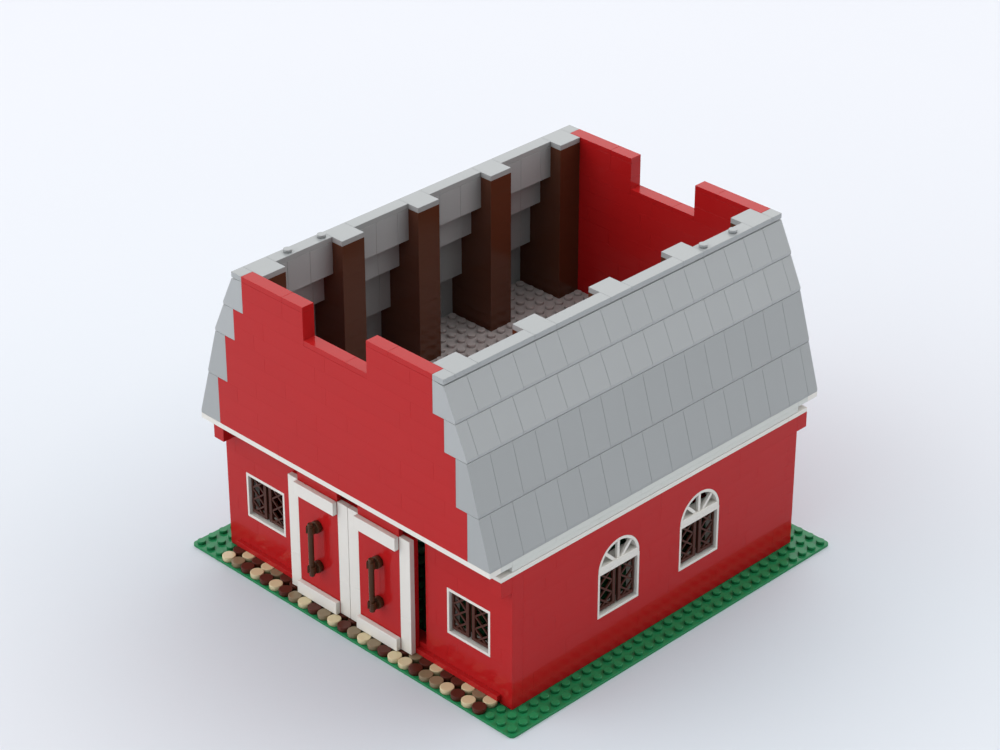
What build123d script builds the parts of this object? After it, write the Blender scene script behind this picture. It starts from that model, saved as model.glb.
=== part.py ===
from build123d import *
import math
import os

os.makedirs("parts", exist_ok=True)

# ---------------------------------------------------------------- driving dimensions (mm)
STUD = 8.0            # grid pitch of the brick module
PLATE = 3.2           # height of one plate; three plates make one brick
BASE_T = 1.6          # thickness of the baseplate
CORNER_R = 2.6        # rounding of the baseplate's four upright corners
N = 32                # baseplate side, in grid units
STUD_R = 2.4          # radius of a stud
STUD_H = 1.8          # height of a stud
TILE_R = 3.9          # radius of a round path tile
RUN = 0.3             # clearance between the sliding doors and everything else

WALL_OUT = 2          # walls stand this many units in from the baseplate edge
WALL_TOP = 26         # height of the ground-floor walls, in plates
FLOOR_LO, FLOOR_HI = 28, 29        # loft floor, in plates
ROOF_TOP = 60         # top of the roof rim, in plates
DOORWAY = (10, 22)    # doorway, in units along the front
SILL_TOP = 3          # top of the doorway sill, in plates
LINTEL_LO = 24        # underside of the lintel, in plates
WIN_LO, WIN_HI = 8, 17             # window opening, in plates
ARCH_R = 16.0         # outer radius of the arched fan light
DOOR_W = 6            # width of one door leaf, in units
DOOR_X = (9.4, 15.4)  # left edges of the two door leaves at rest
HALF = N * STUD / 2

# inner x, outer x at the foot, outer x at the top, lower and upper plate of each roof row,
# counted from the centre line
ROWS = [
    (9, 11, 10, 53, 59),
    (10, 12, 11, 47, 53),
    (11, 13, 12, 38, 47),
    (12, 14, 13, 29, 38),
]
LIP = 1.8             # upright lip at the foot of each roof row
POST_Y = [(1, 3), (8, 10), (15, 17), (22, 24), (29, 31)]

# ---------------------------------------------------------------- casement leaves
JAMB = 1.8            # width of a window frame's upright
RAIL = 1.6            # height of a window frame's bottom rail
HEAD = 1.9            # height of a window frame's top rail
PIVOT_IN = 1.0        # hinge line, in from the upright
PIVOT_DEEP = 2.2      # hinge line, in from the outer face of the wall
LEAF_T = 1.6          # thickness of a leaf
KNUCKLE_R = 0.8       # radius of the round hinge edge of a leaf
LEAF_W = 12.1         # from the hinge line to the free edge
LEAF_OVER = 0.25      # gap between a leaf and the top rail
LEAF_UNDER = 1.7      # gap between a leaf and the bottom rail
LATTICE_W = 1.0       # width and thickness of the lattice bars

# ---------------------------------------------------------------- arched fan lights
SPOKE_W = 1.9         # width of a spoke
SPOKE_IN = 0.65       # front of the spokes, in from the outer face of the wall
SPOKE_T = 1.8         # thickness of a spoke


def zz(k):
    return BASE_T + k * PLATE


def box_mm(x0, x1, y0, y1, z0, z1):
    """A block between two corners, in mm from the centre of the baseplate."""
    return Pos((x0 + x1) / 2, (y0 + y1) / 2, (z0 + z1) / 2) * Box(x1 - x0, y1 - y0, z1 - z0)


def brick(x0, x1, y0, y1, k0, k1):
    """A block in grid units from the front left corner and in plates above the baseplate."""
    return box_mm(
        x0 * STUD - HALF, x1 * STUD - HALF, y0 * STUD - HALF, y1 * STUD - HALF, zz(k0), zz(k1)
    )


def disc(x, y, z0, z1, r):
    """An upright round piece, x and y in grid units, heights in mm."""
    return Pos(x * STUD - HALF, y * STUD - HALF, (z0 + z1) / 2) * Cylinder(r, z1 - z0)


def save(name, solids):
    got = solids if isinstance(solids, list) else [solids]
    flat = []
    for s in got:
        flat.extend(s.solids())
    shape = flat[0] if len(flat) == 1 else Compound(label=name, children=flat)
    shape.label = name
    export_step(shape, f"parts/{name}.step")
    print(name, len(flat), round(sum(s.volume for s in flat)))


# ---------------------------------------------------------------- base and path
slab = box_mm(-HALF, HALF, -HALF, HALF, 0, BASE_T)
save("baseplate", fillet(slab.edges().filter_by(Axis.Z), CORNER_R))

PATH_AT = 3           # first stud column that the path covers
PATH_FRONT = "TDBTBTBDTBDTBDTDBTTBDDTBTB"
PATH_BACK = "BTBTDBBTDBTBBDTDTBDBTBBTDT"
path = {"T": [], "D": [], "B": []}
for i in range(26):
    path[PATH_FRONT[i]].append(disc(PATH_AT + i + 0.5, 0.5, zz(0), zz(1), TILE_R))
    path[PATH_BACK[i]].append(disc(PATH_AT + i + 0.5, 1.5, zz(0), zz(1), TILE_R))
save("path_tan", path["T"])
save("path_dark_tan", path["D"])
save("path_brown", path["B"])

studs = []
for i in range(N):
    for j in range(N):
        outside = i < 2 or i >= 30 or j < 2 or j >= 30
        if outside and not (j < 2 and PATH_AT <= i < PATH_AT + 26):
            studs.append(disc(i + 0.5, j + 0.5, BASE_T, BASE_T + STUD_H, STUD_R))
save("baseplate_studs", studs)

# ---------------------------------------------------------------- ground-floor walls
a, b = WALL_OUT, N - WALL_OUT
d0, d1 = DOORWAY
save(
    "front_wall",
    [
        brick(a, 4, a, a + 1, 0, WALL_TOP),
        brick(4, 8, a, a + 1, 0, WIN_LO),
        brick(4, 8, a, a + 1, WIN_HI, WALL_TOP),
        brick(8, d0, a, a + 1, 0, WALL_TOP),
        brick(d0, d1, a, a + 1, 0, SILL_TOP),
        brick(d0, d1, a, a + 1, LINTEL_LO, WALL_TOP),
        brick(d1, 24, a, a + 1, 0, WALL_TOP),
        brick(24, 28, a, a + 1, 0, WIN_LO),
        brick(24, 28, a, a + 1, WIN_HI, WALL_TOP),
        brick(28, b, a, a + 1, 0, WALL_TOP),
    ],
)
save("back_wall", brick(a, b, b - 1, b, 0, WALL_TOP))

SIDE_WINDOWS = [(10, 14), (18, 22)]
for side, x in (("left", a), ("right", b - 1)):
    wall = [
        brick(x, x + 1, a + 1, 10, 0, WALL_TOP),
        brick(x, x + 1, 14, 18, 0, WALL_TOP),
        brick(x, x + 1, 22, b - 1, 0, WALL_TOP),
    ]
    for y0, y1 in SIDE_WINDOWS:
        wall.append(brick(x, x + 1, y0, y1, 0, WIN_LO))
        wall.append(brick(x, x + 1, y0, y1, 22, WALL_TOP))
        # the two shoulders beside the arch, in upright strips
        bore = Pos((x + 0.5) * STUD - HALF, (y0 + 2) * STUD - HALF, zz(WIN_HI)) * Cylinder(
            ARCH_R, 3 * STUD, rotation=(0, 90, 0)
        )
        for s0, s1 in ((0, 0.5), (0.5, 1), (1, 2), (2, 3), (3, 3.5), (3.5, 4)):
            cut = brick(x, x + 1, y0 + s0, y0 + s1, WIN_HI, 22) - bore
            wall.append(cut)
    save(f"{side}_wall", wall)

save("top_beams", [brick(3, 29, 2, 3, 26, 28), brick(3, 29, 29, 30, 26, 28)])
save(
    "corbels",
    [brick(x, x + 1, y, y + 1, 23, 26) for x in (2, 29) for y in (1, 30)],
)
save(
    "side_bands",
    [brick(x, x + 1, 1, 31, 26, 27) for x in (2, 29)]
    + [brick(x, x + 1, 2, 30, 27, 29) for x in (2, 29)],
)
save(
    "eave_plates",
    [brick(2, 30, 0, 1, 28, 29), brick(2, 30, 31, 32, 28, 29)]
    + [brick(x, x + 1, y, y + 1, 28, 29) for x in (2, 29) for y in (1, 30)],
)

# ---------------------------------------------------------------- windows
def rect_frame(u0, u1):
    """Four bars of a window frame, as (u0, u1, v0, v1) boxes: u along the wall, v up, in mm."""
    z0, z1 = zz(WIN_LO), zz(WIN_HI)
    return [
        (u0, u0 + JAMB, z0, z1),
        (u1 - JAMB, u1, z0, z1),
        (u0 + JAMB, u1 - JAMB, z0, z0 + RAIL),
        (u0 + JAMB, u1 - JAMB, z1 - HEAD, z1),
    ]


FRONT_WINDOWS = [(4, 8), (24, 28)]
yf = a * STUD - HALF
save(
    "front_window_frames",
    [
        box_mm(u0, u1, yf, yf + STUD, v0, v1)
        for w in FRONT_WINDOWS
        for (u0, u1, v0, v1) in rect_frame(w[0] * STUD - HALF, w[1] * STUD - HALF)
    ],
)
side_frames, fans = [], []
for x in (a, b - 1):
    xa = x * STUD - HALF
    face = xa if x == a else xa + STUD          # outer face of this wall
    inward = 1 if x == a else -1
    for y0, y1 in SIDE_WINDOWS:
        side_frames += [
            box_mm(xa, xa + STUD, u0, u1, v0, v1)
            for (u0, u1, v0, v1) in rect_frame(y0 * STUD - HALF, y1 * STUD - HALF)
        ]
        yc, zc = (y0 + 2) * STUD - HALF, zz(WIN_HI)
        at = Pos(xa + STUD / 2, yc, zc)
        half = box_mm(xa, xa + STUD, yc - ARCH_R, yc + ARCH_R, zc + PLATE, zc + ARCH_R)
        ring = (
            at * Cylinder(ARCH_R - 0.02, STUD, rotation=(0, 90, 0))
            - at * Cylinder(ARCH_R - 1.9, STUD + 2, rotation=(0, 90, 0))
        ) & half
        bar_w = math.sqrt((ARCH_R - 0.02) ** 2 - PLATE**2)
        bar = box_mm(xa, xa + STUD, yc - bar_w, yc + bar_w, zc, zc + PLATE)
        fan = ring.fuse(bar)
        deep0, deep1 = sorted((face + inward * SPOKE_IN, face + inward * (SPOKE_IN + SPOKE_T)))
        for deg in (45, 90, 135):
            spoke = (
                Pos((deep0 + deep1) / 2, yc, zc)
                * Rot(deg, 0, 0)
                * Pos(0, (ARCH_R - 1.2) / 2, 0)
                * Box(deep1 - deep0, ARCH_R - 1.2, SPOKE_W)
            )
            spoke = spoke & box_mm(deep0, deep1, yc - ARCH_R, yc + ARCH_R, zc + PLATE / 2, zc + ARCH_R)
            fan = fan.fuse(spoke)
        fans.append(fan)
save("side_window_frames", side_frames)
save("side_fan_lights", fans)


def leaf(width, height):
    """One lattice leaf. The hinge line is the Z axis, the leaf reaches along +X, its outside is -Y."""
    plate = box_mm(0, width, -LEAF_T / 2, LEAF_T / 2, 0, height)
    u0, u1, v0, v1 = 0.45, width - 2.1, 1.9, height - 1.0     # the opening behind the lattice
    inner = box_mm(u0, u1, -LEAF_T, LEAF_T, v0, v1)
    # three crosses, one over another, each as wide as the opening and a third of the leaf high
    step = height / 3
    ang = math.degrees(math.atan2(step, u1))
    long = math.hypot(step, u1) + 2
    lattice = None
    for n in range(3):
        for s in (1, -1):
            strip = Pos(u1 / 2, 0, (n + 0.5) * step) * Rot(0, -s * ang, 0) * Box(long, LATTICE_W, LATTICE_W)
            lattice = strip if lattice is None else lattice.fuse(strip)
    body = (plate - inner).fuse(lattice & inner)
    knuckle = Pos(0, 0, height / 2) * Cylinder(KNUCKLE_R, height)
    return body.fuse(knuckle)


LEAF_Z = zz(WIN_LO) + RAIL + LEAF_UNDER
LEAF_H = zz(WIN_HI) - HEAD - LEAF_OVER - LEAF_Z
plain = leaf(LEAF_W, LEAF_H)
turned = Rot(0, 0, 180) * plain


def hang(name, x, y, heading, shape):
    save(name, Pos(x, y, LEAF_Z) * Rot(0, 0, heading) * shape)


pivot = JAMB + PIVOT_IN
for label, (w0, w1) in zip(("left", "right"), FRONT_WINDOWS):
    y = yf + PIVOT_DEEP
    hang(f"front_{label}_leaf_a", w0 * STUD - HALF + pivot, y, 0, plain)
    hang(f"front_{label}_leaf_b", w1 * STUD - HALF - pivot, y, 180, plain)
    print("pivot front", label, w0 * STUD - HALF + pivot, w1 * STUD - HALF - pivot, y)
for side, face, inward in (("left", a * STUD - HALF, 1), ("right", b * STUD - HALF, -1)):
    x = face + inward * PIVOT_DEEP
    for label, (w0, w1) in zip(("front", "rear"), SIDE_WINDOWS):
        hang(f"{side}_{label}_leaf_a", x, w0 * STUD - HALF + pivot, 90, plain)
        hang(f"{side}_{label}_leaf_b", x, w1 * STUD - HALF - pivot, -90, plain)
        print("pivot", side, label, x, w0 * STUD - HALF + pivot, w1 * STUD - HALF - pivot)

# ---------------------------------------------------------------- sliding doors
save("door_track", box_mm(3 * STUD - HALF, 29 * STUD - HALF, 13.1 - HALF, 16 - HALF, zz(1), zz(2)))
save("door_guide", box_mm(3 * STUD - HALF, 29 * STUD - HALF, 5.6 - HALF, 9.3 - HALF, zz(26.4), zz(28)))

SIDE_GAP = 0.15       # half the gap between the closed edges of the two leaves
for side, dx in zip(("left", "right"), DOOR_X):
    x0 = dx * STUD - HALF + SIDE_GAP
    x1 = (dx + DOOR_W) * STUD - HALF - SIDE_GAP
    p0, p1 = x0 + STUD, x1 - STUD
    foot = zz(1) + RUN
    head = zz(23.5)
    save(f"{side}_door_backing", box_mm(x0, x1, 12.8 - HALF, 15.7 - HALF, zz(2) + RUN, head))
    save(
        f"{side}_door_boards",
        [
            box_mm(x0, p0, 9.6 - HALF, 12.8 - HALF, foot, head),
            box_mm(p1, x1, 9.6 - HALF, 12.8 - HALF, foot, head),
        ],
    )
    save(f"{side}_door_panel", box_mm(p0, p1, 9.6 - HALF, 12.8 - HALF, foot, zz(27.6)))
    save(
        f"{side}_door_rails",
        [
            box_mm(p0, p1, 6.4 - HALF, 9.6 - HALF, foot, zz(3.5)),
            box_mm(p0, p1, 6.4 - HALF, 9.6 - HALF, zz(21), head),
        ],
    )
    hx = (x0 + x1) / 2
    bar_y, bar_r = 3.9 - HALF, 1.6
    bar = Pos(hx, bar_y, 41.4) * Cylinder(bar_r, 33.6)
    grip = [bar]
    for hz in (28.6, 54.2):
        grip.append(
            Pos(hx, 8.0 - HALF, hz) * Cylinder(3.6, 3.2, rotation=(90, 0, 0))
        )
        arm = box_mm(hx - 2.2, hx + 2.2, 2.9 - HALF, 6.4 - HALF, hz - 2.2, hz + 2.2)
        grip.append(arm - Pos(hx, bar_y, hz) * Cylinder(bar_r, 10))
    save(f"{side}_door_handle", grip)
    print("door", side, x0, x1, hx)

# ---------------------------------------------------------------- loft floor and posts
save("loft_floor", brick(3, 29, 1, 31, FLOOR_LO, FLOOR_HI))
posts = {"left": [], "right": []}
for y0, y1 in POST_Y:
    for side in posts:
        steps = [(4, 29, 38), (5, 38, 47), (6, 47, 53), (7, 53, 59)]
        shape = None
        for x, k0, k1 in steps:
            part = brick(x, 8, y0, y1, k0, k1) if side == "left" else brick(24, N - x, y0, y1, k0, k1)
            shape = part if shape is None else shape.fuse(part)
        posts[side].append(shape.clean())
save("left_posts", posts["left"])
save("right_posts", posts["right"])
loft = []
for i in range(4, 28):
    for j in range(1, 31):
        under_post = any(y0 <= j < y1 for y0, y1 in POST_Y) and (i < 8 or i >= 24)
        if not under_post:
            loft.append(disc(i + 0.5, j + 0.5, zz(FLOOR_HI), zz(FLOOR_HI) + STUD_H, STUD_R))
save("loft_studs", loft)

# ---------------------------------------------------------------- gables and roof
for side, y in (("front", 0), ("back", 31)):
    save(
        f"{side}_gable",
        [
            brick(4, 28, y, y + 1, 29, 38),
            brick(5, 27, y, y + 1, 38, 47),
            brick(6, 26, y, y + 1, 47, 53),
            brick(7, 13, y, y + 1, 53, 59),
            brick(19, 25, y, y + 1, 53, 59),
        ],
    )
save(
    "gable_tiles",
    [
        brick(x0, x1, y, y + 1, k0, k1)
        for y in (0, 31)
        for x0, x1, k0, k1 in ((7, 13, 59, 60), (13, 19, 53, 54), (19, 25, 59, 60))
    ],
)
for n, (xi, xf, xt, k0, k1) in enumerate(ROWS, start=1):
    for side, s in (("left", -1), ("right", 1)):
        points = [
            (s * xi * STUD, zz(k0)),
            (s * xf * STUD, zz(k0)),
            (s * xf * STUD, zz(k0) + LIP),
            (s * xt * STUD, zz(k1)),
            (s * xi * STUD, zz(k1)),
        ]
        outline = Polyline(*points, close=True)
        profile = make_face(outline)
        row = Pos(0, HALF, 0) * Rot(90, 0, 0) * extrude(profile, amount=2 * HALF)
        box = row.bounding_box()
        if box.min.Y < -HALF - 0.01:
            row = Pos(0, -HALF - box.min.Y, 0) * row
        save(f"{side}_slope_{n}", row)

caps, ties = [], []
for x in (6, 25):
    caps.append(brick(x, x + 1, 0, N, 59, ROOF_TOP))
for y0, y1 in POST_Y:
    ties.append(brick(7, 8, y0, y1, 59, ROOF_TOP))
    ties.append(brick(24, 25, y0, y1, 59, ROOF_TOP))
save("roof_caps", caps)
save("tie_plates", ties)
save(
    "locating_studs",
    [
        disc(x, y, zz(ROOF_TOP), zz(ROOF_TOP) + STUD_H, STUD_R)
        for x, y in ((6.5, 4.5), (6.5, 7.5), (25.5, 24.5), (25.5, 27.5))
    ],
)
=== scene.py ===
import math
import random

import bmesh
import bpy
from mathutils import Matrix, Vector


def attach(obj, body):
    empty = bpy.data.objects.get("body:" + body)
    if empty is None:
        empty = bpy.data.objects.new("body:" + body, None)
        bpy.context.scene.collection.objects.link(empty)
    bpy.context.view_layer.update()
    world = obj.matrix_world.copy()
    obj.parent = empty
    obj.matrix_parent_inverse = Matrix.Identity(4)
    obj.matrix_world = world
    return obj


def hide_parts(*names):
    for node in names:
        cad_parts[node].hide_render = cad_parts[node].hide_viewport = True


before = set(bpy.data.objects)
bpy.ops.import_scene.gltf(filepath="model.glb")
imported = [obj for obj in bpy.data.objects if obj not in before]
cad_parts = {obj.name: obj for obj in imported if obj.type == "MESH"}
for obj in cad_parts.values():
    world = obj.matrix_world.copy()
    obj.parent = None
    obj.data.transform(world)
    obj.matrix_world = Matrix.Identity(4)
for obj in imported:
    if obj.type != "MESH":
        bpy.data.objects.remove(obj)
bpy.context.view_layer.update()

# ------------------------------------------------------------------ module sizes (mm)
STUD, PLATE, BASE_T, HALF = 8.0, 3.2, 1.6, 128.0
STUD_R, STUD_H = 2.4, 1.8
MM = 0.001
HOUSE = "house"


WB, WG, UP_GAP = 0.035, 0.002, 0.022    # edge break, level joint and upright joint of the red courses (mm)


def X(s):
    return s * STUD - HALF


def Z(k):
    return BASE_T + k * PLATE


# ------------------------------------------------------------------ materials
def plastic(name, rgb, rough=0.14, tone=0.03, grain=0.0, grain_size=900.0, mottle=0.015, spec=0.33, rough_var=0.03):
    """Moulded plastic: a slow mottle and a small piece-to-piece tone in the colour, a slow change of roughness, and a
    shallow surface wave with an optional fine moulded grain."""
    m = bpy.data.materials.new(name)
    m.use_nodes = True
    nt = m.node_tree
    nt.nodes.clear()
    N, L = nt.nodes.new, nt.links.new
    out = N("ShaderNodeOutputMaterial")
    b = N("ShaderNodeBsdfPrincipled")
    b.inputs["IOR"].default_value = 1.52
    b.inputs["Specular IOR Level"].default_value = spec
    L(b.outputs["BSDF"], out.inputs["Surface"])
    co = N("ShaderNodeTexCoord")
    slow = N("ShaderNodeTexNoise")
    slow.inputs["Scale"].default_value = 38.0
    slow.inputs["Detail"].default_value = 3.0
    L(co.outputs["Object"], slow.inputs["Vector"])
    fine = N("ShaderNodeTexNoise")
    fine.inputs["Scale"].default_value = grain_size
    fine.inputs["Detail"].default_value = 2.0
    L(co.outputs["Object"], fine.inputs["Vector"])
    geo = N("ShaderNodeNewGeometry")
    # tone = 1 + mottle * (slow - .5) * 2 + tone * (island - .5)
    a = N("ShaderNodeMath"); a.operation = "MULTIPLY_ADD"
    a.inputs[1].default_value = mottle * 2
    a.inputs[2].default_value = 1.0 - mottle
    L(slow.outputs["Fac"], a.inputs[0])
    c = N("ShaderNodeMath"); c.operation = "MULTIPLY_ADD"
    c.inputs[1].default_value = tone
    c.inputs[2].default_value = -tone / 2
    L(geo.outputs["Random Per Island"], c.inputs[0])
    s = N("ShaderNodeMath"); s.operation = "ADD"
    L(a.outputs[0], s.inputs[0]); L(c.outputs[0], s.inputs[1])
    tint = N("ShaderNodeVectorMath"); tint.operation = "SCALE"
    tint.inputs[0].default_value = rgb
    L(s.outputs[0], tint.inputs["Scale"])
    L(tint.outputs["Vector"], b.inputs["Base Color"])
    r = N("ShaderNodeMapRange")
    r.inputs["From Min"].default_value = 0.3
    r.inputs["From Max"].default_value = 0.7
    r.inputs["To Min"].default_value = max(0.02, rough - rough_var)
    r.inputs["To Max"].default_value = rough + rough_var
    L(slow.outputs["Fac"], r.inputs["Value"])
    L(r.outputs["Result"], b.inputs["Roughness"])
    wave = N("ShaderNodeBump")
    wave.inputs["Strength"].default_value = 0.18
    wave.inputs["Distance"].default_value = 0.00012
    L(slow.outputs["Fac"], wave.inputs["Height"])
    if grain > 0:
        g = N("ShaderNodeBump")
        g.inputs["Strength"].default_value = grain
        g.inputs["Distance"].default_value = 0.00008
        L(fine.outputs["Fac"], g.inputs["Height"])
        L(wave.outputs["Normal"], g.inputs["Normal"])
        L(g.outputs["Normal"], b.inputs["Normal"])
    else:
        L(wave.outputs["Normal"], b.inputs["Normal"])
    return m


MAT = {
    "red_brick": plastic("red_abs", (0.448, 0.0122, 0.0132), rough=0.13, tone=0.02, spec=0.17),
    "white_trim": plastic("white_abs", (0.765, 0.745, 0.700), rough=0.16, tone=0.015),
    "grey_roof": plastic("grey_abs_grained", (0.397, 0.416, 0.424), rough=0.34, tone=0.02, grain=0.35, grain_size=1400.0),
    "green_base": plastic("green_abs", (0.018, 0.225, 0.083), rough=0.15, tone=0.05, spec=0.2),
    "dark_brown_post": plastic("dark_brown_abs", (0.098, 0.033, 0.0165), rough=0.12, tone=0.03),
    "dark_brown_handle": plastic("handle_brown_abs", (0.074, 0.032, 0.015), rough=0.16, tone=0.05, spec=0.2),
    "red_brown_tile": plastic("red_brown_abs", (0.088, 0.022, 0.014), rough=0.15, tone=0.08, spec=0.15),
    "tan_tile": plastic("tan_abs", (0.67, 0.57, 0.35), rough=0.15, tone=0.05),
    "dark_tan_tile": plastic("dark_tan_abs", (0.24, 0.18, 0.105), rough=0.15, tone=0.08),
    "grey_brown_floor": plastic("floor_abs", (0.53, 0.49, 0.48), rough=0.18, tone=0.03),
}
# Smooth, ungrained grey for the rim plates and their studs. Its colour is a little darker than the roof grey: painted
# shade that tones down the light on the rim tops.
MAT["grey_smooth_painted_shade"] = plastic("grey_abs_smooth_painted_shade", (0.374, 0.393, 0.400), rough=0.18, tone=0.015)
# A darker copy of the white plastic: painted shade for the side band's upper plates and the eave plate ends.
MAT["white_painted_shade"] = plastic("white_abs_painted_shade", (0.635, 0.655, 0.625), rough=0.2, tone=0.015)
MAT["leaf"] = plastic("leaf_brown_abs", (0.070, 0.022, 0.014), rough=0.2, tone=0.04, spec=0.15)
# A darker copy of the roof grey for the two steep lower rows: painted shade.
MAT["grey_steep_painted_shade"] = plastic("grey_abs_steep_painted_shade", (0.358, 0.376, 0.383), rough=0.34, tone=0.02, grain=0.35, grain_size=1400.0)


# ------------------------------------------------------------------ mesh building
class Build:
    """Collects closed pieces in mm and turns them into one object in metres."""

    def __init__(self):
        self.bm = bmesh.new()

    def poly(self, verts, faces, bevel=0.0, segments=2, smooth=False):
        bm = bmesh.new()
        vs = [bm.verts.new(v) for v in verts]
        for f in faces:
            fc = bm.faces.new([vs[i] for i in f])
            fc.smooth = smooth
        bmesh.ops.recalc_face_normals(bm, faces=bm.faces)
        if bevel > 0:
            edges = [e for e in bm.edges if e.calc_face_angle(0) > 0.3]
            bmesh.ops.bevel(bm, geom=edges, offset=bevel, segments=segments, profile=0.5, affect="EDGES", clamp_overlap=True)
        me = bpy.data.meshes.new("tmp")
        bm.to_mesh(me)
        bm.free()
        self.bm.from_mesh(me)
        bpy.data.meshes.remove(me)
        return self

    def box(self, x0, x1, y0, y1, z0, z1, bevel=0.12, gap=0.02):
        x0, x1, y0, y1, z0, z1 = x0 + gap, x1 - gap, y0 + gap, y1 - gap, z0 + gap, z1 - gap
        v = [(x0, y0, z0), (x1, y0, z0), (x1, y1, z0), (x0, y1, z0), (x0, y0, z1), (x1, y0, z1), (x1, y1, z1), (x0, y1, z1)]
        f = [(0, 3, 2, 1), (4, 5, 6, 7), (0, 1, 5, 4), (1, 2, 6, 5), (2, 3, 7, 6), (3, 0, 4, 7)]
        return self.poly(v, f, bevel)

    def brick(self, x0, x1, y0, y1, k0, k1, bevel=0.12, gap=0.02):
        return self.box(X(x0), X(x1), X(y0), X(y1), Z(k0), Z(k1), bevel, gap)

    def tight(self, x0, x1, y0, y1, k0, k1, along, edge=WB, level=WG):
        """A wall brick pressed tight: hairline joints, the upright ones a little wider than the level ones."""
        gx, gy = (UP_GAP, 0.0) if along == "x" else (0.0, UP_GAP)
        foot = Z(k0) + (0.35 if k0 == 0 else 0.0)
        return self.box(X(x0) + gx, X(x1) - gx, X(y0) + gy, X(y1) - gy, foot, Z(k1), edge, level)

    def prism(self, outline, y0, y1, bevel=0.15):
        """A closed outline of (x, z) points, from y0 to y1."""
        n = len(outline)
        v = [(x, y0, z) for x, z in outline] + [(x, y1, z) for x, z in outline]
        f = [tuple(range(n)), tuple(range(2 * n - 1, n - 1, -1))]
        f += [(i, (i + 1) % n, n + (i + 1) % n, n + i) for i in range(n)]
        return self.poly(v, f, bevel)

    def lathe(self, profile, matrix, steps=32):
        """A closed solid of revolution: profile is (radius, height) from the foot's centre to the head's centre."""
        rings = [(r, h) for r, h in profile if r > 1e-6]
        verts, faces = [], []
        for r, h in rings:
            for i in range(steps):
                t = 2 * math.pi * i / steps
                verts.append(tuple(matrix @ Vector((r * math.cos(t), r * math.sin(t), h))))
        smooth = []
        for k in range(len(rings) - 1):
            for i in range(steps):
                j = (i + 1) % steps
                faces.append((k * steps + i, k * steps + j, (k + 1) * steps + j, (k + 1) * steps + i))
                smooth.append(True)
        faces.append(tuple(reversed(range(steps)))); smooth.append(False)
        faces.append(tuple((len(rings) - 1) * steps + i for i in range(steps))); smooth.append(False)
        me = bpy.data.meshes.new("tmp")
        me.from_pydata(verts, [], faces)
        me.polygons.foreach_set("use_smooth", smooth)
        self.bm.from_mesh(me)
        bpy.data.meshes.remove(me)
        return self

    def stud(self, x, y, z, steps=24):
        return self.lathe(
            [(STUD_R, 0.0), (STUD_R, STUD_H - 0.22), (STUD_R - 0.07, STUD_H - 0.07), (STUD_R - 0.22, STUD_H)],
            Matrix.Translation((x, y, z)), steps,
        )

    def make(self, name, mat, body=HOUSE, slot=None, nodes=()):
        me = bpy.data.meshes.new(name)
        self.bm.to_mesh(me)
        self.bm.free()
        me.transform(Matrix.Scale(MM, 4))
        o = bpy.data.objects.new(name, me)
        bpy.context.scene.collection.objects.link(o)
        me.materials.append(MAT[mat])
        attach(o, body)
        if nodes:
            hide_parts(*nodes)
        slot or mat
        return o


def studs(name, mat, places, z, node=None, body=HOUSE):
    """A field of studs at (x, y) in grid units."""
    steps = 24
    prof = [(STUD_R, 0.0), (STUD_R, STUD_H - 0.22), (STUD_R - 0.07, STUD_H - 0.07), (STUD_R - 0.22, STUD_H)]
    verts, faces, smooth = [], [], []
    ring = [(math.cos(2 * math.pi * i / steps), math.sin(2 * math.pi * i / steps)) for i in range(steps)]
    for sx, sy in places:
        base = len(verts)
        cx, cy = X(sx), X(sy)
        for r, h in prof:
            for c, s in ring:
                verts.append(((cx + r * c) * MM, (cy + r * s) * MM, (z + h) * MM))
        for k in range(len(prof) - 1):
            for i in range(steps):
                j = (i + 1) % steps
                faces.append((base + k * steps + i, base + k * steps + j, base + (k + 1) * steps + j, base + (k + 1) * steps + i))
                smooth.append(True)
        faces.append(tuple(base + (len(prof) - 1) * steps + i for i in range(steps)))
        smooth.append(False)
        faces.append(tuple(base + i for i in reversed(range(steps))))
        smooth.append(False)
    me = bpy.data.meshes.new(name)
    me.from_pydata(verts, [], faces)
    me.polygons.foreach_set("use_smooth", smooth)
    me.materials.append(MAT[mat])
    o = bpy.data.objects.new(name, me)
    bpy.context.scene.collection.objects.link(o)
    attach(o, body)
    if node:
        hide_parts(node)
    return o


def lay(lo, hi, first, sizes):
    """Cuts lo..hi into bricks: the first piece is `first` long, the rest follow `sizes` in turn."""
    cuts, at, i = [lo], lo + first, 0
    while at < hi - 0.01:
        cuts.append(at)
        at += sizes[i % len(sizes)]
        i += 1
    cuts.append(hi)
    return list(zip(cuts, cuts[1:]))


# ------------------------------------------------------------------ base
def rounded_slab(w, r, z0, z1, seg=6):
    pts = []
    for cx, cy, a0 in ((w - r, w - r, 0), (-w + r, w - r, 90), (-w + r, -w + r, 180), (w - r, -w + r, 270)):
        for i in range(seg + 1):
            t = math.radians(a0 + 90 * i / seg)
            pts.append((cx + r * math.cos(t), cy + r * math.sin(t)))
    n = len(pts)
    v = [(x, y, z0) for x, y in pts] + [(x, y, z1) for x, y in pts]
    f = [tuple(reversed(range(n))), tuple(range(n, 2 * n))]
    f += [(i, (i + 1) % n, n + (i + 1) % n, n + i) for i in range(n)]
    return v, f


base = Build()
base.poly(*rounded_slab(HALF, 2.6, 0.0, BASE_T), bevel=0.15)
base.make("base_slab", "green_base", nodes=("baseplate",))

PATH_AT = 3
ring = [
    (i + 0.5, j + 0.5)
    for i in range(32)
    for j in range(32)
    if (i < 2 or i >= 30 or j < 2 or j >= 30) and not (j < 2 and PATH_AT <= i < PATH_AT + 26)
]
studs("base_studs", "green_base", ring, BASE_T, "baseplate_studs")
studs("base_studs_inside", "green_base", [(i + 0.5, j + 0.5) for i in range(3, 29) for j in range(3, 29)], BASE_T)

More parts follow.
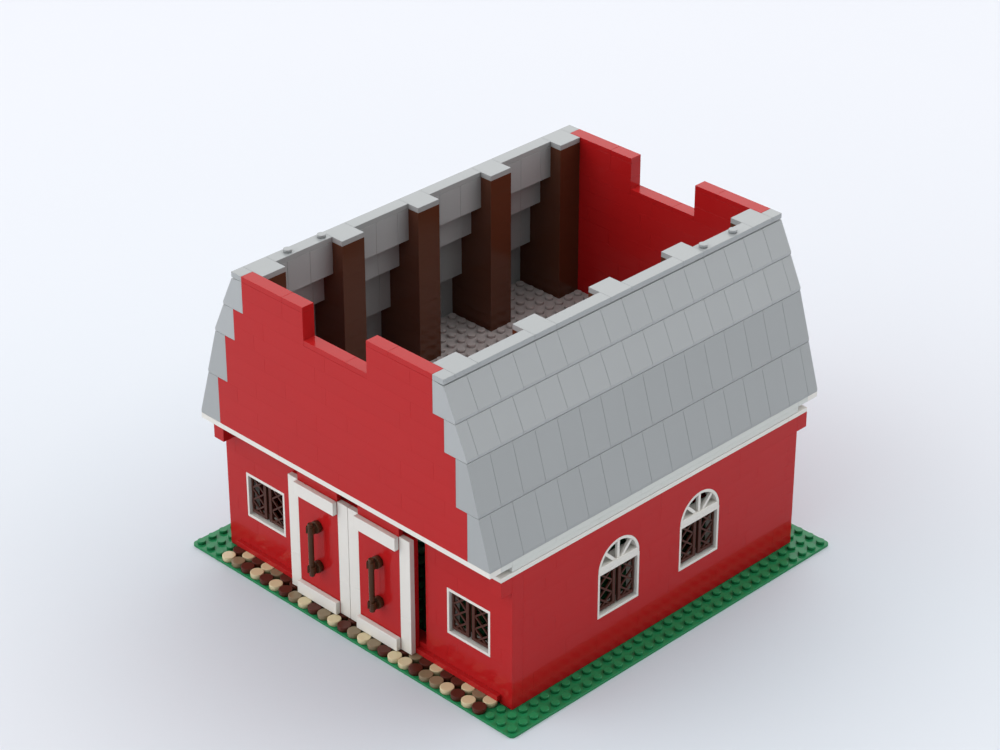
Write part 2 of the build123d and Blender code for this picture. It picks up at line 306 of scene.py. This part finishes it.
PATH_FRONT = "TDBTBTBDTBDTBDTDBTTBDDTBTB"
PATH_BACK = "BTBTDBBTDBTBBDTDTBDBTBBTDT"
for key, mat, node in (("T", "tan_tile", "path_tan"), ("D", "dark_tan_tile", "path_dark_tan"), ("B", "red_brown_tile", "path_brown")):
    b = Build()
    for row, pattern in ((0, PATH_FRONT), (1, PATH_BACK)):
        for i, p in enumerate(pattern):
            if p == key:
                b.lathe(
                    [(3.5, 0.0), (3.5, 0.45), (3.9, 0.6), (3.9, 2.85), (3.8, 3.08), (3.6, 3.2)],
                    Matrix.Translation((X(PATH_AT + i + 0.5), X(0.5 + row), Z(0))), 36,
                )
    b.make(node + "_tiles", mat, nodes=(node,))

# ------------------------------------------------------------------ walls
BACK_SEAM = (0.09, 0.012)
WALL_COURSES = [(0, 2), (2, 5), (5, 8), (8, 11), (11, 14), (14, 17), (17, 20), (20, 23), (23, 26)]


def wall_x(b, y, spans, k0, k1, n, *seam):
    for lo, hi in spans:
        for x0, x1 in lay(lo, hi, (4, 2, 3, 1)[n % 4], (6, 4, 6)):
            b.tight(x0, x1, y, y + 1, k0, k1, "x", *seam)


def wall_y(b, x, spans, k0, k1, n):
    for lo, hi in spans:
        for y0, y1 in lay(lo, hi, (3, 1, 4, 2)[n % 4], (6, 4, 8)):
            b.tight(x, x + 1, y0, y1, k0, k1, "y")


b = Build()
for n, (k0, k1) in enumerate(WALL_COURSES):
    if k1 <= 8:
        spans = [(2, 10), (22, 30)]
    elif k1 <= 17:
        spans = [(2, 4), (8, 10), (22, 24), (28, 30)]
    else:
        spans = [(2, 10), (22, 30)]
    wall_x(b, 2, spans, k0, k1, n)
for x0, x1 in ((10, 16), (16, 22)):
    b.tight(x0, x1, 2, 3, 0, 3, "x")
    b.tight(x0, x1, 2, 3, 24, 26, "x")
b.make("front_wall_bricks", "red_brick", nodes=("front_wall",))

b = Build()
for n, (k0, k1) in enumerate(WALL_COURSES):
    wall_x(b, 29, [(2, 30)], k0, k1, n + 1, *BACK_SEAM)
b.make("back_wall_bricks", "red_brick", nodes=("back_wall",))


def shoulder(b, x0, x1, yc, s):
    """The red corner beside an arch: s is -1 for the near side of the window, +1 for the far side."""
    r, steps = 16.0, 14
    zc = Z(17)
    pts = [(s * r, 0.0), (s * r, r)]
    pts += [(s * r * math.cos(t), r * math.sin(t)) for t in [math.pi / 2 * (1 - (i + 0.35) / steps) for i in range(steps)]]
    n = len(pts)
    v = [(x0, yc + u, zc + w) for u, w in pts] + [(x1, yc + u, zc + w) for u, w in pts]
    bm = bmesh.new()
    vs = [bm.verts.new(p) for p in v]
    bm.faces.new(vs[:n])
    bm.faces.new(list(reversed(vs[n:])))
    for i in range(n):
        j = (i + 1) % n
        bm.faces.new((vs[i], vs[j], vs[n + j], vs[n + i]))
    bmesh.ops.recalc_face_normals(bm, faces=bm.faces)
    me = bpy.data.meshes.new("tmp")
    bm.to_mesh(me)
    bm.free()
    b.bm.from_mesh(me)
    bpy.data.meshes.remove(me)


for side, x in (("left", 2), ("right", 29)):
    b = Build()
    for n, (k0, k1) in enumerate(WALL_COURSES):
        if k1 <= 8 or k0 >= 23:
            spans = [(3, 29)]
        else:
            spans = [(3, 10), (14, 18), (22, 29)]
        wall_y(b, x, spans, k0, k1, n)
    for w in (10, 18):
        b.tight(x, x + 1, w, w + 4, 22, 23, "y")
        for s in (-1, 1):
            shoulder(b, X(x), X(x + 1), X(w + 2), s)
    b.make(side + "_wall_bricks", "red_brick", nodes=(side + "_wall",))

b = Build()
for y in (2, 29):
    for k0, k1 in ((26, 27), (27, 28)):
        for x0, x1 in lay(3, 29, 6 if k0 == 26 else 4, (8, 6)):
            b.tight(x0, x1, y, y + 1, k0, k1, "x")
b.make("top_beam_plates", "red_brick", nodes=("top_beams",))

b = Build()
for x in (2, 29):
    for y in (1, 30):
        b.brick(x, x + 1, y, y + 1, 23, 26, 0.15)
b.make("corbel_bricks", "red_brick", nodes=("corbels",))

# ------------------------------------------------------------------ white bands and eaves
b = Build()
for x in (2, 29):
    for y0, y1 in lay(1, 31, 6, (8, 6, 8)):
        b.box(X(x), X(x + 1), X(y0), X(y1), Z(26), Z(27) - 0.4, 0.3, 0.02)
b.make("side_band_lower_plates", "white_trim", nodes=("side_bands",))
b = Build()
for x in (2, 29):
    for y0, y1 in lay(2, 30, 8, (6, 8)):
        b.brick(x, x + 1, y0, y1, 27, 28, 0.14, 0.02)
    for y0, y1 in lay(2, 30, 4, (8, 8, 6)):
        b.brick(x, x + 1, y0, y1, 28, 29, 0.14, 0.02)
# The upper two band plates take the darker white, painted shade; they are the same plastic as the lower plate.
b.make("side_band_upper_plates", "white_painted_shade", slot="white_trim", nodes=("side_bands",))

b = Build()
for y in (0, 31):
    for x0, x1 in lay(2, 30, 8, (8, 6, 6)):
        b.brick(x0, x1, y, y + 1, 28, 29, 0.14, 0.02)
b.make("eave_plate_run", "white_trim", nodes=("eave_plates",))
b = Build()
for x in (2, 29):
    for y in (1, 30):
        b.brick(x, x + 1, y, y + 1, 28, 29, 0.14, 0.02)
# The eave plate ends take the darker white: painted shade.
b.make("eave_plate_ends", "white_painted_shade", slot="white_trim", nodes=("eave_plates",))

# ------------------------------------------------------------------ windows
JAMB, RAIL, HEAD = 1.55, 1.6, 1.9


def window_frame(b, across, face, inward, u0, u1):
    """A rectangular frame with one ring of faces. across is 'x' for the front wall and 'y' for a side wall."""
    z0, z1 = Z(8), Z(17)
    d0, d1 = face, face + inward * STUD
    g = 0.02
    outer = [(u0 + g, z0 + g), (u1 - g, z0 + g), (u1 - g, z1 - g), (u0 + g, z1 - g)]
    inner = [(u0 + JAMB, z0 + RAIL), (u1 - JAMB, z0 + RAIL), (u1 - JAMB, z1 - HEAD), (u0 + JAMB, z1 - HEAD)]

    def p(u, d, z):
        return (u, d, z) if across == "x" else (d, u, z)

    v = [p(u, d0, z) for u, z in outer] + [p(u, d0, z) for u, z in inner]
    v += [p(u, d1, z) for u, z in outer] + [p(u, d1, z) for u, z in inner]
    f = []
    for i in range(4):
        j = (i + 1) % 4
        f += [(i, j, 4 + j, 4 + i), (8 + i, 12 + i, 12 + j, 8 + j), (i, 8 + i, 8 + j, j), (4 + i, 4 + j, 12 + j, 12 + i)]
    b.poly(v, f, bevel=0.22, segments=3)


b = Build()
for w in (4, 24):
    window_frame(b, "x", X(2), 1, X(w), X(w + 4))
b.make("front_window_surrounds", "white_trim", nodes=("front_window_frames",))
b = Build()
for face, inward in ((X(2), 1), (X(30), -1)):
    for w in (10, 18):
        window_frame(b, "y", face, inward, X(w), X(w + 4))
b.make("side_window_surrounds", "white_trim", nodes=("side_window_frames",))


def sweep_arc(b, at, r0, r1, d0, d1, a0, a1, steps, bevel):
    """A bar of rectangular section bent along an arc, with its edges broken."""
    sec = [
        (r0 + bevel, d0), (r1 - bevel, d0), (r1, d0 + bevel), (r1, d1 - bevel),
        (r1 - bevel, d1), (r0 + bevel, d1), (r0, d1 - bevel), (r0, d0 + bevel),
    ]
    n = len(sec)
    verts, faces, smooth = [], [], []
    for i in range(steps + 1):
        t = a0 + (a1 - a0) * i / steps
        for r, d in sec:
            verts.append(at(r * math.cos(t), d, r * math.sin(t)))
    for i in range(steps):
        for k in range(n):
            j = (k + 1) % n
            faces.append((i * n + k, i * n + j, (i + 1) * n + j, (i + 1) * n + k))
            smooth.append(True)
    faces.append(tuple(range(n))); smooth.append(False)
    faces.append(tuple(steps * n + k for k in reversed(range(n)))); smooth.append(False)
    bm = bmesh.new()
    vs = [bm.verts.new(p) for p in verts]
    for f, s in zip(faces, smooth):
        fc = bm.faces.new([vs[k] for k in f])
    bmesh.ops.recalc_face_normals(bm, faces=bm.faces)
    me = bpy.data.meshes.new("tmp")
    bm.to_mesh(me)
    bm.free()
    b.bm.from_mesh(me)
    bpy.data.meshes.remove(me)


b = Build()
for face, inward in ((X(2), 1), (X(30), -1)):
    for w in (10, 18):
        yc, zc = X(w + 2), Z(17)

        def at(u, d, h, yc=yc, zc=zc, face=face, inward=inward):
            return (face + inward * d, yc + u, zc + h)

        a0 = math.asin(PLATE / 15.98)
        sweep_arc(b, at, 14.1, 15.97, 0.0, STUD, a0 * 0.98, math.pi - a0 * 0.98, 40, 0.22)
        bw = math.sqrt(15.97 ** 2 - PLATE ** 2)
        x0, x1 = sorted((face, face + inward * STUD))
        b.box(x0, x1, yc - bw, yc + bw, zc, zc + PLATE, 0.2, 0.0)
        # three spokes, set back from the face
        for deg in (45, 90, 135):
            t = math.radians(deg)
            du, dh = math.cos(t), math.sin(t)
            nu, nh = -dh, du
            hw = 0.95
            vs = []
            for d in (0.65, 2.45):
                for r in (2.6, 14.7):
                    for s in (-1, 1):
                        vs.append(at(r * du + s * hw * nu, d, r * dh + s * hw * nh))
            f = [(0, 1, 3, 2), (4, 6, 7, 5), (0, 4, 5, 1), (2, 3, 7, 6), (0, 2, 6, 4), (1, 5, 7, 3)]
            b.poly(vs, f, bevel=0.18)
b.make("side_fan_light_tops", "white_trim", nodes=("side_fan_lights",))

for n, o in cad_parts.items():
    if "_leaf_" in n:
        o.data.materials.clear()
        o.data.materials.append(MAT["leaf"])
        edge = o.modifiers.new("edges", "BEVEL")
        edge.width = 0.0001
        edge.segments = 2
        edge.limit_method = "ANGLE"
        edge.angle_limit = math.radians(40)

# ------------------------------------------------------------------ doors
def mm_y(v):
    return v - HALF


for side, dx in (("left", 9.4), ("right", 15.4)):
    body = side + "_door"
    x0, x1 = X(dx) + 0.15, X(dx + 6) - 0.15
    p0, p1 = x0 + STUD, x1 - STUD
    foot, head = Z(1) + 0.3, Z(23.5)
    b = Build()
    xm = (x0 + x1) / 2
    for a, c in ((x0, xm), (xm, x1)):
        b.box(a, c, mm_y(12.8), mm_y(15.7), Z(2) + 0.3, head, 0.12)
    b.make(side + "_door_back_plates", "red_brick", body, nodes=(side + "_door_backing",))
    b = Build()
    for a, c in ((x0, p0), (p1, x1)):
        b.box(a, c, mm_y(9.6), mm_y(12.8), foot, foot + 7 * 3.2, 0.16)
        b.box(a, c, mm_y(9.6), mm_y(12.8), foot + 7 * 3.2, head, 0.16)
    b.make(side + "_door_stiles", "white_trim", body, nodes=(side + "_door_boards",))
    b = Build()
    b.box(p0, xm, mm_y(9.6), mm_y(12.8), foot, Z(27.6), WB, WG)
    b.box(xm, p1, mm_y(9.6), mm_y(12.8), foot, Z(27.6), WB, WG)
    b.make(side + "_door_panel_tiles", "red_brick", body, nodes=(side + "_door_panel",))
    b = Build()
    b.box(p0, p1, mm_y(6.4), mm_y(9.38), foot, Z(3.5), 0.18)
    b.box(p0, p1, mm_y(6.4), mm_y(9.38), Z(21), head, 0.18)
    b.make(side + "_door_rail_tiles", "white_trim", body, nodes=(side + "_door_rails",))
    # handle: a round bar held by two round clips
    b = Build()
    b.lathe(
        [(1.35, -16.8), (1.6, -16.5), (1.6, 16.5), (1.35, 16.8)],
        Matrix.Translation((xm, mm_y(3.9), 41.4)), 28,
    )
    for hz in (28.6, 54.2):
        m = Matrix.Translation((xm, mm_y(9.6), hz)) @ Matrix.Rotation(math.radians(90), 4, "X")
        b.lathe([(3.3, 0.0), (3.3, 0.5), (3.58, 0.65), (3.58, 2.85), (3.45, 3.1), (3.25, 3.2)], m, 32)
        # the clip: a C round the bar, open towards the front
        steps = 20
        for k in range(1):
            a0, a1 = math.radians(-55), math.radians(235)
            sec = []
            verts, faces = [], []
            zs = (-2.1, -1.9, 1.9, 2.1)
            for i in range(steps + 1):
                t = a0 + (a1 - a0) * i / steps
                for r, z in ((1.62, -1.9), (1.72, -2.1), (2.4, -2.1), (2.55, -1.9), (2.55, 1.9), (2.4, 2.1), (1.72, 2.1), (1.62, 1.9)):
                    verts.append((xm + r * math.cos(t), mm_y(3.9) + r * math.sin(t), hz + z))
            n = 8
            for i in range(steps):
                for q in range(n):
                    j = (q + 1) % n
                    faces.append((i * n + q, i * n + j, (i + 1) * n + j, (i + 1) * n + q))
            faces.append(tuple(range(n)))
            faces.append(tuple(steps * n + q for q in reversed(range(n))))
            b.poly(verts, faces)
        b.box(xm - 1.6, xm + 1.6, mm_y(6.0), mm_y(6.6), hz - 2.0, hz + 2.0, 0.15, 0.0)
    b.make(side + "_door_grip", "dark_brown_handle", body, nodes=(side + "_door_handle",))

b = Build()
for x0, x1 in lay(3, 29, 6, (8, 6, 6)):
    b.box(X(x0), X(x1), mm_y(13.1), mm_y(16), Z(1), Z(2), 0.14)
b.make("door_track_strip", "red_brick", nodes=("door_track",))
b = Build()
for x0, x1 in lay(3, 29, 6, (8, 6, 6)):
    b.box(X(x0), X(x1), mm_y(5.6), mm_y(9.3), Z(26.4), Z(28), 0.14)
b.make("door_guide_strip", "red_brick", nodes=("door_guide",))

# ------------------------------------------------------------------ loft floor and posts
b = Build()
for y0, y1 in lay(1, 31, 7, (8, 8)):
    for x0, x1 in lay(3, 29, 9, (8, 8)):
        b.brick(x0, x1, y0, y1, 28, 29, 0.12, 0.02)
b.make("loft_floor_plates", "grey_brown_floor", nodes=("loft_floor",))
POST_Y = [(1, 3), (8, 10), (15, 17), (22, 24), (29, 31)]
loft = [
    (i + 0.5, j + 0.5)
    for i in range(4, 28)
    for j in range(1, 31)
    if not (any(y0 <= j < y1 for y0, y1 in POST_Y) and (i < 8 or i >= 24))
]
studs("loft_floor_studs", "grey_brown_floor", loft, Z(29), "loft_studs")

for side in ("left", "right"):
    b = Build()
    for y0, y1 in POST_Y:
        k = 29
        while k < 59:
            top = min(k + 3, 59)
            inner = 4 if k < 38 else 5 if k < 47 else 6 if k < 53 else 7
            x0, x1 = (inner, 8) if side == "left" else (24, 32 - inner)
            b.brick(x0, x1, y0, y1, k, top, 0.035, 0.002)
            k = top
    b.make(side + "_post_bricks", "dark_brown_post", nodes=(side + "_posts",))

# ------------------------------------------------------------------ gables
GABLE = [(29, 32, 4), (32, 35, 4), (35, 38, 4), (38, 41, 5), (41, 44, 5), (44, 47, 5), (47, 50, 6), (50, 53, 6)]
for side, y in (("front", 0), ("back", 31)):
    seam = (WB, WG) if side == "front" else BACK_SEAM
    b = Build()
    for n, (k0, k1, x) in enumerate(GABLE):
        for x0, x1 in lay(x, 32 - x, (6, 4, 2, 3)[n % 4], (6, 8, 6, 4)):
            b.tight(x0, x1, y, y + 1, k0, k1, "x", *seam)
    for a, c in ((7, 13), (19, 25)):
        b.tight(a, c, y, y + 1, 53, 56, "x", *seam)
        for x0, x1 in lay(a, c, 4, (4,)):
            b.tight(x0, x1, y, y + 1, 56, 59, "x", *seam)
    b.make(side + "_gable_bricks", "red_brick", nodes=(side + "_gable",))
b = Build()
for y in (0, 31):
    for x0, x1 in ((7, 11), (11, 13), (19, 21), (21, 25)):
        b.brick(x0, x1, y, y + 1, 59, 60, 0.14, 0.02)
    for x0, x1 in ((13, 17), (17, 19)):
        b.brick(x0, x1, y, y + 1, 53, 54, 0.14, 0.02)
b.make("gable_top_tiles", "red_brick", nodes=("gable_tiles",))

# ------------------------------------------------------------------ roof
LIP = 1.8
ROWS = [(9, 11, 10, 53, 59), (10, 12, 11, 47, 53), (11, 13, 12, 38, 47), (12, 14, 13, 29, 38)]
for n, (xi, xf, xt, k0, k1) in enumerate(ROWS, start=1):
    for side, s in (("left", -1), ("right", 1)):
        b = Build()
        first = 2 if n in (1, 3) else 1
        g = 0.05
        under = 0.8 if n == 1 else 0.26
        for y0, y1 in lay(0, 32, first, (2,)):
            pts = [
                (s * xi * STUD, Z(k0) + g),
                (s * xf * STUD, Z(k0) + g),
                (s * xf * STUD, Z(k0) + LIP),
                (s * xt * STUD, Z(k1) - under),
                (s * xi * STUD, Z(k1) - g),
            ]
            b.prism(pts, X(y0) + g, X(y1) - g, bevel=0.16)
        # Rows 3 and 4 take the darker grey, painted shade; rows 1 and 2 take the roof grey.
        b.make(f"{side}_roof_row_{n}", "grey_roof" if n < 3 else "grey_steep_painted_shade", slot="grey_roof", nodes=(f"{side}_slope_{n}",))

b = Build()
for x in (6, 25):
    inner = 6 if x == 6 else 24
    at = 0
    for y0, y1 in POST_Y:
        if y0 > at:
            b.brick(x, x + 1, at, y0, 59, 60, 0.15, 0.03)
        b.brick(inner, inner + 2, y0, y1, 59, 60, 0.15, 0.03)
        at = y1
    if at < 32:
        b.brick(x, x + 1, at, 32, 59, 60, 0.15, 0.03)
# The rim plates take the darker smooth grey: painted shade on their tops.
b.make("roof_rim_plates", "grey_smooth_painted_shade", slot="grey_roof", nodes=("roof_caps", "tie_plates"))
studs("rim_studs", "grey_smooth_painted_shade", [(6.5, 4.5), (6.5, 7.5), (25.5, 24.5), (25.5, 27.5)], Z(60), None)
o = bpy.data.objects["rim_studs"]
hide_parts("locating_studs")

# ------------------------------------------------------------------ camera
cam = bpy.data.cameras.new("camera")
cam.sensor_width = 36.0
cam.lens = 102.93
cam.clip_start, cam.clip_end = 0.05, 50.0
co = bpy.data.objects.new("camera", cam)
co.location = (0.95506, -0.96354, 0.89513)
co.rotation_euler = (math.radians(59.986), 0.0, math.radians(45.010))
bpy.context.scene.collection.objects.link(co)
bpy.context.scene.camera = co

# ------------------------------------------------------------------ floor, light
fm = bpy.data.materials.new("floor_paper")
fm.use_nodes = True
nt = fm.node_tree
pb = nt.nodes["Principled BSDF"]
pb.inputs["Roughness"].default_value = 0.75
pb.inputs["Specular IOR Level"].default_value = 0.2
tc = nt.nodes.new("ShaderNodeTexCoord")
away = nt.nodes.new("ShaderNodeVectorMath")
away.operation = "LENGTH"
nt.links.new(tc.outputs["Object"], away.inputs[0])
# The floor's colour gets lighter with distance from the house's centre: a painted shadow round the house, with a faint
# blue tint.
floor_shadow_ramp = nt.nodes.new("ShaderNodeValToRGB")
el = floor_shadow_ramp.color_ramp.elements
el[0].position, el[0].color = 0.13, (0.638, 0.716, 0.782, 1)
el[1].position, el[1].color = 0.22, (0.695, 0.748, 0.808, 1)
for at, tint in ((0.30, (0.735, 0.775, 0.832, 1)), (0.44, (0.758, 0.788, 0.845, 1)), (0.72, (0.780, 0.801, 0.856, 1))):
    e = el.new(at)
    e.color = tint
nt.links.new(away.outputs["Value"], floor_shadow_ramp.inputs["Fac"])
nt.links.new(floor_shadow_ramp.outputs["Color"], pb.inputs["Base Color"])
me = bpy.data.meshes.new("floor")
S = 8.0
me.from_pydata([(-S, -S, 0), (S, -S, 0), (S, S, 0), (-S, S, 0)], [], [(0, 1, 2, 3)])
me.materials.append(fm)
floor = bpy.data.objects.new("floor", me)
floor.location = (0, 0, -0.00005)
bpy.context.scene.collection.objects.link(floor)

world = bpy.data.worlds.new("studio")
bpy.context.scene.world = world
world.use_nodes = True
wt = world.node_tree
bg = wt.nodes["Background"]
bg.inputs["Color"].default_value = (1.0, 1.0, 1.0, 1)
look = wt.nodes.new("ShaderNodeTexCoord")
# a soft surround: the sum of wide glows, each (direction, narrowness, strength)
GLOW = [
    ((-1, 0, 0), 1.0, 0.326),
    ((0, 1, 0), 1.0, 1.818),
    ((0, -1, 0.35), 3.0, 0.816),
    ((-1, -1, 0.7), 3.0, 1.457),
    ((1, 0, 2), 8.0, 0.663),
    ((-1, 1, 1), 8.0, 0.531),
    ((1, 1, 1), 8.0, 0.580),
]
total = None
for way, narrow, amount in GLOW:
    dot = wt.nodes.new("ShaderNodeVectorMath")
    dot.operation = "DOT_PRODUCT"
    dot.inputs[1].default_value = Vector(way).normalized()
    wt.links.new(look.outputs["Generated"], dot.inputs[0])
    pos = wt.nodes.new("ShaderNodeMath")
    pos.operation = "MAXIMUM"
    pos.inputs[1].default_value = 0.0
    wt.links.new(dot.outputs["Value"], pos.inputs[0])
    power = wt.nodes.new("ShaderNodeMath")
    power.operation = "POWER"
    power.inputs[1].default_value = narrow
    wt.links.new(pos.outputs[0], power.inputs[0])
    add = wt.nodes.new("ShaderNodeMath")
    add.operation = "MULTIPLY_ADD"
    add.inputs[1].default_value = amount
    add.inputs[2].default_value = 0.0
    wt.links.new(power.outputs[0], add.inputs[0])
    if total is not None:
        wt.links.new(total.outputs[0], add.inputs[2])
    total = add
# the backdrop above the floor's edge is plain and pale
plain = wt.nodes.new("ShaderNodeBackground")
plain.inputs["Color"].default_value = (0.86, 0.89, 0.95, 1)
seen = wt.nodes.new("ShaderNodeLightPath")
mix = wt.nodes.new("ShaderNodeMixShader")
wt.links.new(total.outputs[0], bg.inputs["Strength"])
wt.links.new(seen.outputs["Is Camera Ray"], mix.inputs[0])
wt.links.new(bg.outputs[0], mix.inputs[1])
wt.links.new(plain.outputs[0], mix.inputs[2])
wt.links.new(mix.outputs[0], wt.nodes["World Output"].inputs["Surface"])


def area(name, loc, target, size, power, color=(1, 1, 1)):
    l = bpy.data.lights.new(name, "AREA")
    l.shape = "SQUARE"
    l.size = size
    l.energy = power
    l.color = color
    o = bpy.data.objects.new(name, l)
    o.location = loc
    d = Vector(target) - Vector(loc)
    o.rotation_mode = "QUATERNION"
    o.rotation_quaternion = d.to_track_quat("-Z", "Y")
    bpy.context.scene.collection.objects.link(o)
    return o


area("front_left", (-1.7, -1.7, 2.3), (0, 0, 0.1), 1.8, 5.3)

vs = bpy.context.scene.view_settings
vs.view_transform = "Standard"
vs.look = "None"
vs.exposure = 0.0
vs.gamma = 1.0
